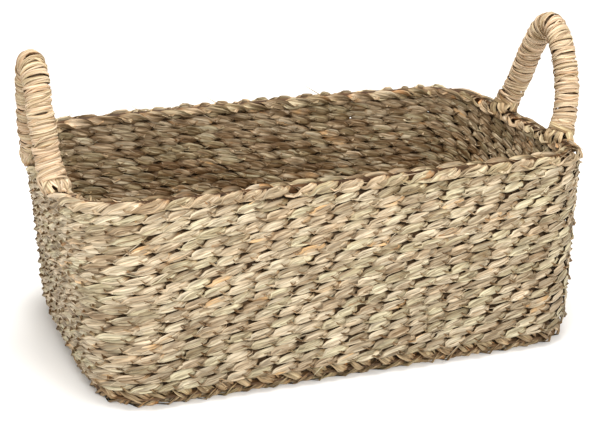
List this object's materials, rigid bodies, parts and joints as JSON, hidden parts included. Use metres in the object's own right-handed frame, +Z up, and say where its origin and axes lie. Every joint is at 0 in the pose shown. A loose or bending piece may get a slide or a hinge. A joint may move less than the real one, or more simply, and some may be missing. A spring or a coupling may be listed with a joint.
{
  "type": "magazine basket",
  "caption": "Rectangular basket of stacked seagrass plait with two stiff wrapped loop handles standing on its end rims, for keeping magazines in.",
  "frame": {"origin": "on the floor, under the middle of the overall length and breadth", "axes": "+X along the basket's length, from the left handle to the right one; +Z up; -Y towards the long front wall"},
  "size_m": [0.4724, 0.2518, 0.2517],
  "materials": {
    "wall_plait": "matte dry seagrass, pale straw with grey-green and brown leaves",
    "rim_plait": "matte dry seagrass, pale straw",
    "border_plait": "matte dry seagrass, browner and finer",
    "base_plait": "matte dry seagrass",
    "handle_core": "raw cane",
    "handle_wrap": "matte twisted seagrass twine, warm beige",
    "lashing": "matte seagrass twine and loose leaf ends"
  },
  "bodies": {
    "root": {"wall_course_01": "wall_plait", "wall_course_02": "wall_plait", "wall_course_03": "wall_plait", "wall_course_04": "wall_plait", "wall_course_05": "wall_plait", "wall_course_06": "wall_plait", "wall_course_07": "wall_plait", "wall_course_08": "wall_plait", "wall_course_09": "wall_plait", "wall_course_10": "wall_plait", "wall_course_11": "wall_plait", "wall_course_12": "wall_plait", "wall_course_13": "wall_plait", "wall_course_14": "wall_plait", "wall_course_15": "wall_plait", "wall_course_16": "wall_plait", "wall_course_17": "wall_plait", "wall_course_18": "wall_plait", "rim_plait": "rim_plait", "base_border_plait": "border_plait", "base_turn_01": "base_plait", "base_turn_02": "base_plait", "base_turn_03": "base_plait", "base_turn_04": "base_plait", "base_turn_05": "base_plait", "base_turn_06": "base_plait", "base_turn_07": "base_plait", "base_turn_08": "base_plait", "base_turn_09": "base_plait", "handle_core_left": "handle_core", "handle_core_right": "handle_core", "handle_wrap_left": "handle_wrap", "handle_wrap_right": "handle_wrap", "foot_lashing_left_front": "lashing", "foot_lashing_left_back": "lashing", "foot_lashing_right_front": "lashing", "foot_lashing_right_back": "lashing"}
  },
  "joints": []
}
